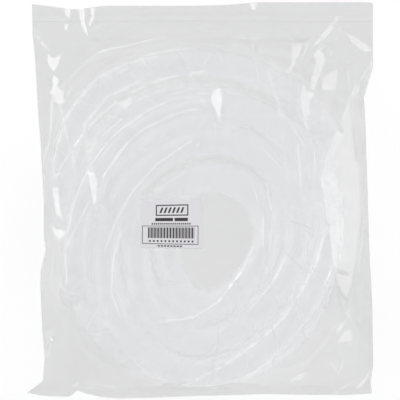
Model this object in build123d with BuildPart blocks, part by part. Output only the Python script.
"""A coil of helical tube sealed in a flat-backed film bag with a header and a label.

The coil lies flat in two layers joined by one climbing length of tube.  The bag's
flat back rests on z = 0 and +Z points up through the coil.  +Y runs towards the
header, so "top", "bottom", "left" and "right" are directions in plan, seen from +Z.
All lengths are in millimetres and all angles in degrees.
"""
from build123d import *
import math
import os

os.makedirs("parts", exist_ok=True)

# ---------------------------------------------------------------- film and bag outline
FILM_T = 0.2            # one ply of polythene film
BOTH_PLIES_T = 2 * FILM_T

HINGE_Y = 106.6         # line along which the flat header folds
HINGE_GAP = 0.5         # film left out between that line and the header
SEAL_Y0 = 116.7         # top weld, lower edge
SEAL_Y1 = 120.2         # top weld, upper edge
BOTTOM_Y = -123.6       # start of the bottom weld
RIGHT_X = 112.4         # straight right edge of the header
HINGE_LEFT = (-109.3, HINGE_Y)
TOP_LEFT = (-110.5, 128.0)

# Outline of the flat bag as (x, y), clockwise from the top left corner.
OUTLINE_TOP = [
    TOP_LEFT, (-97.5, 126.5), (-84.5, 124.6), (-78.6, 124.6), (-70.8, 125.9),
    (-60.4, 126.9), (-0.6, 126.9), (18.2, 127.5), (36.4, 129.2), (110.5, 129.3),
    (RIGHT_X, 127.5)]
OUTLINE_RIGHT = [
    (RIGHT_X, HINGE_Y), (112.4, 87.1), (107.9, 72.8), (106.0, 66.9), (106.3, 55.2),
    (107.9, 0.0), (109.2, -37.0), (110.9, -66.3), (112.4, -103.3), (112.4, -109.0)]
OUTLINE_BOTTOM = [
    (111.6, BOTTOM_Y), (111.6, -126.4), (94.2, -127.4), (74.0, -127.1), (41.0, -126.1),
    (15.6, -127.1), (-0.6, -127.3), (-26.6, -128.4), (-52.0, -129.1), (-64.4, -128.5),
    (-76.7, -125.8), (-81.9, -124.4), (-86.7, -128.5), (-97.5, -128.3),
    (-113.7, -125.9), (-105.0, BOTTOM_Y)]
OUTLINE_LEFT = [
    (-103.3, -118.0), (-102.1, -103.3), (-103.4, -82.9), (-104.3, -56.5),
    (-104.1, -46.1), (-100.7, -31.9), (-102.0, -24.7), (-102.0, 0.0), (-104.1, 36.4),
    (-106.6, 67.6), (-108.7, 94.9), HINGE_LEFT]
# The body runs from the fold line to the bottom weld.
BODY_OUTLINE = OUTLINE_RIGHT + [OUTLINE_BOTTOM[0], OUTLINE_BOTTOM[-1]] + OUTLINE_LEFT

# ---------------------------------------------------------------- raised pocket
SHOULDER_Z = 20.4       # height where the film turns over the lower turns
PLATEAU_Z = 39.9        # top of the film over the upper turns
FOOT_X0, FOOT_X1 = -100.9, 103.7    # limits of the pocket's foot
FOOT_Y0, FOOT_Y1 = -123.3, 106.2
FOOT_CORNER_POWER = 9.0             # superellipse power that rounds the foot's corners
STATIONS = [i * 12.0 for i in range(30)]    # ray directions of the faceted side wall
SAMPLE_OFFSETS = (-9.0, -4.5, 0.0, 4.5, 9.0)    # directions searched about each ray

LOWER_MARGIN = 2.6      # shoulder outside the lower tube
UPPER_MARGIN = 5.0      # shoulder outside the upper tube
PLATEAU_MARGIN = 11.2   # plateau outside the upper tube's centreline
TOP_SLACK = 4.4         # extra film towards +Y
FOOT_FLARE = 16.0       # furthest the foot spreads beyond the shoulder
FOOT_STEP = 0.5         # least step in from the foot limits to the shoulder
PLATEAU_STEP = 0.4      # least step in from shoulder to plateau, before smoothing
SMOOTHED_STEP = 0.3     # the same after smoothing
POCKET_INSET = 0.3      # cavity inset, measured along the rays
SHOULDER_DROP = 0.1     # cavity shoulder below the outer shoulder

# ---------------------------------------------------------------- label
LABEL_W = 39.4
LABEL_H = 31.4
LABEL_X = -18.9
LABEL_Y = -15.4
LABEL_CORNER_R = 0.5
ADHESIVE_T = 0.03
ADHESIVE_INSET = 0.2
LABEL_T = 0.1
PRINT_T = 0.02

# Print positions are heights above the label's centre, along y.
PANEL_Y, PANEL_W, PANEL_H, PANEL_LINE = 8.9, 18.0, 5.6, 0.6
STRIPE_W, STRIPE_H, STRIPE_TILT = 1.2, 3.4, -25
STRIPE_PITCH, STRIPE_COUNT = 3.1, 5
PRINT_BARS = [(3.4, 21.0, 1.7), (0.9, 25.0, 0.7), (-14.2, 16.0, 0.7)]   # y, width, height
FRAME_Y, FRAME_W, FRAME_H, FRAME_LINE = -6.2, 35.0, 11.6, 0.3
STROKE_Y, STROKE_W, STROKE_H = -5.4, 0.9, 7.6
STROKE_PITCH, STROKE_COUNT = 2.0, 15

# ---------------------------------------------------------------- tube
TUBE_R = 18.4 / 2       # outside radius of the helical tube at rest
TUBE_WALL = 1.5
Z_LOW = 9.9             # centre height of the lower layer of turns
Z_HIGH = 29.9           # centre height of the upper layer of turns
COIL_X = -0.65          # centre of the coil in plan
COIL_Y = -32.5
END_STEPS = 2           # table steps that belong to each free end
END_GAP = 1.0           # split between a free end and the coil it grows from

# Turns of each layer: centreline radius at equal angular steps about the coil centre.
LOWER_START = 36.0
LOWER_STEP = 22.58
LOWER_RADII = [
    112.082, 117.659, 120.892, 121.953, 120.292, 104.617, 86.402, 81.992,
    82.267, 81.461, 79.263, 79.391, 80.859, 81.060, 80.769, 82.610, 87.376,
    94.175, 100.006, 101.293, 97.988, 79.729, 63.893, 62.084, 62.827, 61.840,
    59.679, 59.767, 60.852, 61.098, 61.225, 63.736, 68.302, 74.101, 78.360,
    76.855, 67.611, 51.537, 43.176, 42.518, 43.249, 42.586, 40.505, 38.600,
    37.316, 38.150, 40.922, 44.616, 47.546, 47.957, 46.170]
UPPER_START = 302.0
UPPER_STEP = 22.651
UPPER_RADII = [
    33.978, 33.777, 38.535, 44.679, 49.159, 50.638, 49.389, 45.554, 42.370,
    40.733, 40.330, 41.322, 45.278, 51.383, 56.940, 57.743, 54.705, 54.049,
    59.357, 65.714, 71.046, 73.123, 71.194, 66.486, 62.538, 60.387, 59.878,
    61.996, 67.269, 73.778, 77.855, 77.506, 74.526, 74.287, 79.715, 86.405,
    93.525, 95.164, 92.533, 87.999, 83.766, 80.582, 79.926, 81.343]
# Plan points (x, y) where the tube climbs from the lower to the upper layer.
CROSS_XY = [(-16.9, 1.3), (-21.125, -14.3), (-21.45, -32.5),
            (-18.85, -48.1), (-11.05, -61.1), (1.95, -66.95)]


def write_piece(name, part):
    part.label = name
    export_step(part, f"parts/{name}.step")


def flat_piece(outline, thickness, z=0.0):
    """Sheet with the given outline, its underside at z."""
    with BuildPart() as sheet:
        with BuildSketch(Plane.XY.offset(z)):
            with BuildLine():
                Polyline(*outline, close=True)
            make_face()
        extrude(amount=thickness)
    return sheet.part


# ---------------------------------------------------------------- pocket shape
def outermost_turn(start, step, radii, direction):
    """Largest centreline radius where the turns cross one direction."""
    largest = 0.0
    end = start + step * (len(radii) - 1)
    angle = direction
    while angle <= end:
        if angle >= start:
            position = (angle - start) / step
            i = min(int(position), len(radii) - 2)
            radius = radii[i] + (radii[i + 1] - radii[i]) * (position - i)
            largest = max(largest, radius)
        angle += 360.0
    return largest


def widest_near(start, step, radii, direction):
    return max(outermost_turn(start, step, radii, direction + offset)
               for offset in SAMPLE_OFFSETS)


def foot_limit(angle):
    """Distance from the coil centre to the foot's rounded rectangle, angle in radians."""
    cos, sin = math.cos(angle), math.sin(angle)
    reach_x = FOOT_X1 - COIL_X if cos > 0 else COIL_X - FOOT_X0
    reach_y = FOOT_Y1 - COIL_Y if sin > 0 else COIL_Y - FOOT_Y0
    total = (abs(cos / reach_x) ** FOOT_CORNER_POWER
             + abs(sin / reach_y) ** FOOT_CORNER_POWER)
    return total ** (-1.0 / FOOT_CORNER_POWER)


def smooth(values):
    """Closed ring of values, each averaged with its two neighbours."""
    count = len(values)
    return [0.25 * values[i - 1] + 0.5 * values[i] + 0.25 * values[(i + 1) % count]
            for i in range(count)]


def pocket_radii():
    """Foot, shoulder and plateau radii of the pocket at each station."""
    foot, shoulder, plateau = [], [], []
    for direction in STATIONS:
        angle = math.radians(direction)
        low = widest_near(LOWER_START, LOWER_STEP, LOWER_RADII, direction)
        high = widest_near(UPPER_START, UPPER_STEP, UPPER_RADII, direction)
        limit = foot_limit(angle)
        slack = TOP_SLACK * max(0.0, math.sin(angle))
        over_turns = max(low + TUBE_R + LOWER_MARGIN, high + TUBE_R + UPPER_MARGIN) + slack
        shoulder_r = min(over_turns, limit - FOOT_STEP)
        foot.append(min(limit, shoulder_r + FOOT_FLARE))
        shoulder.append(shoulder_r)
        plateau.append(min(high + PLATEAU_MARGIN + slack, shoulder_r - PLATEAU_STEP))
    # Smoothing only pushes the plateau outwards, and keeps it inside the shoulder.
    plateau = [min(max(own, smoothed), outer - SMOOTHED_STEP)
               for own, smoothed, outer in zip(plateau, smooth(plateau), shoulder)]
    return foot, shoulder, plateau


def station_points(radii, inset):
    return [(COIL_X + (radius - inset) * math.cos(math.radians(direction)),
             COIL_Y + (radius - inset) * math.sin(math.radians(direction)))
            for direction, radius in zip(STATIONS, radii)]


# ---------------------------------------------------------------- bag body
def front_film():
    """Flat rim on the back ply, with a hollow pocket raised over the coil."""
    foot, shoulder, plateau = pocket_radii()
    cavity_shoulder_z = SHOULDER_Z - SHOULDER_DROP
    # lower z, radii there, upper z, radii there, inset, mode
    lofts = [
        (FILM_T, foot, SHOULDER_Z, shoulder, 0.0, Mode.ADD),
        (SHOULDER_Z, shoulder, PLATEAU_Z, plateau, 0.0, Mode.ADD),
        (FILM_T, foot, cavity_shoulder_z, shoulder, POCKET_INSET, Mode.SUBTRACT),
        (cavity_shoulder_z, shoulder, PLATEAU_Z - FILM_T, plateau,
         POCKET_INSET, Mode.SUBTRACT),
    ]
    with BuildPart() as film:
        with BuildSketch(Plane.XY.offset(FILM_T)):
            with BuildLine():
                Polyline(*BODY_OUTLINE, close=True)
            make_face()
        extrude(amount=FILM_T)
        for lower_z, lower_radii, upper_z, upper_radii, inset, mode in lofts:
            for z, radii in ((lower_z, lower_radii), (upper_z, upper_radii)):
                with BuildSketch(Plane.XY.offset(z)):
                    with BuildLine():
                        Polyline(*station_points(radii, inset), close=True)
                    make_face()
            loft(ruled=True, mode=mode)
    return film.part


write_piece("bag_back_film", flat_piece(BODY_OUTLINE, FILM_T))
write_piece("bag_front_film", front_film())
# Both plies fused, with an uneven lower edge and an ear at the left corner.
write_piece("bottom_seal_band", flat_piece(OUTLINE_BOTTOM, BOTH_PLIES_T))


# ---------------------------------------------------------------- header
def left_x(y):
    """Left edge of the header, straight from the fold line to the top corner."""
    share = (y - HINGE_LEFT[1]) / (TOP_LEFT[1] - HINGE_LEFT[1])
    return HINGE_LEFT[0] + share * (TOP_LEFT[0] - HINGE_LEFT[0])


def header_strip(y0, y1):
    """Outline of the full-width strip between two heights."""
    return [(left_x(y0), y0), (RIGHT_X, y0), (RIGHT_X, y1), (left_x(y1), y1)]


ply_outline = header_strip(HINGE_Y + HINGE_GAP, SEAL_Y0)
write_piece("header_back_ply", flat_piece(ply_outline, FILM_T))
write_piece("header_front_ply", flat_piece(ply_outline, FILM_T, z=FILM_T))
write_piece("top_seal_band", flat_piece(header_strip(SEAL_Y0, SEAL_Y1), BOTH_PLIES_T))

# Trim beyond the weld, as thick as both plies, with an uneven cut edge.
trim_outline = [(left_x(SEAL_Y1), SEAL_Y1)] + OUTLINE_TOP + [(RIGHT_X, SEAL_Y1)]
write_piece("top_trim_edge", flat_piece(trim_outline, BOTH_PLIES_T))


# ---------------------------------------------------------------- label pieces
def label_plane(z):
    """Level plane centred on the label."""
    return Plane(origin=(LABEL_X, LABEL_Y, z), x_dir=(1, 0, 0), z_dir=(0, 0, 1))


def adhesive():
    with BuildPart() as layer:
        with BuildSketch(label_plane(PLATEAU_Z)):
            Rectangle(LABEL_W - 2 * ADHESIVE_INSET, LABEL_H - 2 * ADHESIVE_INSET)
        extrude(amount=ADHESIVE_T)
    return layer.part


def paper():
    with BuildPart() as sheet:
        with BuildSketch(label_plane(PLATEAU_Z + ADHESIVE_T)):
            RectangleRounded(LABEL_W, LABEL_H, LABEL_CORNER_R)
        extrude(amount=LABEL_T)
    return sheet.part


def print_layer():
    """Slanted stripes in a panel, plain bars, and a framed row of upright strokes."""
    with BuildPart() as ink:
        with BuildSketch(label_plane(PLATEAU_Z + ADHESIVE_T + LABEL_T)):
            with Locations((0, PANEL_Y)):
                Rectangle(PANEL_W, PANEL_H)
                Rectangle(PANEL_W - 2 * PANEL_LINE, PANEL_H - 2 * PANEL_LINE,
                          mode=Mode.SUBTRACT)
                with GridLocations(STRIPE_PITCH, 0, STRIPE_COUNT, 1):
                    Rectangle(STRIPE_W, STRIPE_H, rotation=STRIPE_TILT)
            for bar_y, width, height in PRINT_BARS:
                with Locations((0, bar_y)):
                    Rectangle(width, height)
            with Locations((0, FRAME_Y)):
                Rectangle(FRAME_W, FRAME_H)
                Rectangle(FRAME_W - 2 * FRAME_LINE, FRAME_H - 2 * FRAME_LINE,
                          mode=Mode.SUBTRACT)
            with Locations((0, STROKE_Y)):
                with GridLocations(STROKE_PITCH, 0, STROKE_COUNT, 1):
                    Rectangle(STROKE_W, STROKE_H)
        extrude(amount=PRINT_T)
    return ink.part


write_piece("label_adhesive", adhesive())
write_piece("label_paper", paper())
write_piece("label_print", print_layer())


# ---------------------------------------------------------------- tube centreline
# Points and tangents are Vectors.  A chain is a list of (start, middle, end) arcs.
def ring_points(start, step, radii, z):
    points = []
    for i, radius in enumerate(radii):
        angle = math.radians(start + i * step)
        points.append(Vector(COIL_X + radius * math.cos(angle),
                             COIL_Y + radius * math.sin(angle), z))
    return points


def inner_tangents(points):
    """At each inner point, the tangent of the circle through it and its neighbours."""
    tangents = []
    for before, point, after in zip(points, points[1:], points[2:]):
        chord_in, chord_out = point - before, after - point
        tangents.append((chord_in.normalized() * chord_out.length
                         + chord_out.normalized() * chord_in.length).normalized())
    return tangents


def opposite_tangent(start, end, tangent):
    """Tangent at one end of an arc, from the tangent at its other end."""
    chord = (end - start).normalized()
    return (chord * (2 * tangent.dot(chord)) - tangent).normalized()


def all_tangents(points):
    inner = inner_tangents(points)
    first = opposite_tangent(points[0], points[1], inner[0])
    last = opposite_tangent(points[-2], points[-1], inner[-1])
    return [first] + inner + [last]


def arc_middle(start, tangent, end):
    """Middle point of the arc that leaves start along tangent and reaches end."""
    chord = end - start
    cos = tangent.dot(chord) / chord.length
    bulge = (tangent * chord.length - chord * cos) * (0.5 / (1 + cos))
    return start + chord * 0.5 + bulge


def arc_joint(start, start_tangent, end, end_tangent):
    """Point where two tangent arcs between start and end meet."""
    span = end - start
    span_sq = span.dot(span)
    along = span.dot(start_tangent + end_tangent)
    turn = 2 * (1 - start_tangent.dot(end_tangent))
    if turn > 1e-9:
        reach = (-along + math.sqrt(along * along + turn * span_sq)) / turn
    else:   # parallel tangents
        reach = span_sq / (2 * along)
    return (start + end + (start_tangent - end_tangent) * reach) * 0.5


def arc_chain(points, tangents):
    """Smooth chain through the points, with two arcs to each step."""
    arcs = []
    for i in range(len(points) - 1):
        start, end = points[i], points[i + 1]
        joint = arc_joint(start, tangents[i], end, tangents[i + 1])
        arcs.append((start, arc_middle(start, tangents[i], joint), joint))
        arcs.append((joint, arc_middle(end, tangents[i + 1] * -1, joint), end))
    return arcs


def reverse_chain(arcs):
    return [(end, middle, start) for start, middle, end in reversed(arcs)]


def trim_end(arcs, tangent, distance):
    """Pull a level chain's end back along its last arc; tangent is the one at the end."""
    start, _, end = arcs[-1]
    normal = Vector(-tangent.Y, tangent.X, 0)
    chord = start - end
    signed_radius = chord.dot(chord) / (2 * normal.dot(chord))
    centre = end + normal * signed_radius
    radius = abs(signed_radius)
    # Step back along the tangent, then drop onto the arc's own circle.
    new_end = centre + (end - tangent * distance - centre).normalized() * radius
    middle = centre + ((start + new_end) * 0.5 - centre).normalized() * radius
    return arcs[:-1] + [(start, middle, new_end)]


def climb_points(lower_end, upper_start):
    """Points across the coil's hole, rising smoothly and level at both ends."""
    plan = ([Vector(lower_end.X, lower_end.Y, 0)]
            + [Vector(x, y, 0) for x, y in CROSS_XY]
            + [Vector(upper_start.X, upper_start.Y, 0)])
    run = [0.0]
    for before, after in zip(plan, plan[1:]):
        run.append(run[-1] + (after - before).length)
    points = []
    for point, travelled in zip(plan, run):
        share = travelled / run[-1]
        rise = 3 * share ** 2 - 2 * share ** 3
        points.append(Vector(point.X, point.Y, Z_LOW + (Z_HIGH - Z_LOW) * rise))
    return points


def tube_along(arcs, start_tangent):
    """Hollow tube swept along a chain of arcs."""
    section = Plane(origin=arcs[0][0], x_dir=(0, 0, 1), z_dir=start_tangent)
    with BuildPart() as tube:
        with BuildLine():
            for start, middle, end in arcs:
                ThreePointArc(start, middle, end)
        with BuildSketch(section):
            Circle(TUBE_R)
            Circle(TUBE_R - TUBE_WALL, mode=Mode.SUBTRACT)
        sweep()
    return tube.part


# ---------------------------------------------------------------- tube pieces
lower_points = ring_points(LOWER_START, LOWER_STEP, LOWER_RADII, Z_LOW)
upper_points = ring_points(UPPER_START, UPPER_STEP, UPPER_RADII, Z_HIGH)
lower_tangents = all_tangents(lower_points)
upper_tangents = all_tangents(upper_points)
lower_arcs = arc_chain(lower_points, lower_tangents)
upper_arcs = arc_chain(upper_points, upper_tangents)

# The first free end opens the lower chain; the second closes the upper chain.
END_ARCS = 2 * END_STEPS
first_split_tangent = lower_tangents[END_STEPS]
second_split_tangent = upper_tangents[-1 - END_STEPS]
first_end_arcs = trim_end(lower_arcs[:END_ARCS], first_split_tangent, END_GAP)
second_end_arcs = reverse_chain(trim_end(
    reverse_chain(upper_arcs[-END_ARCS:]), second_split_tangent * -1, END_GAP))

climb = climb_points(lower_points[-1], upper_points[0])
climb_tangents = [lower_tangents[-1]] + inner_tangents(climb) + [upper_tangents[0]]

write_piece("tube_lower_turns", tube_along(lower_arcs[END_ARCS:], first_split_tangent))
write_piece("tube_upper_turns", tube_along(upper_arcs[:-END_ARCS], upper_tangents[0]))
write_piece("tube_crossover",
            tube_along(arc_chain(climb, climb_tangents), climb_tangents[0]))
write_piece("tube_first_end", tube_along(first_end_arcs, lower_tangents[0]))
write_piece("tube_second_end", tube_along(second_end_arcs, second_split_tangent))
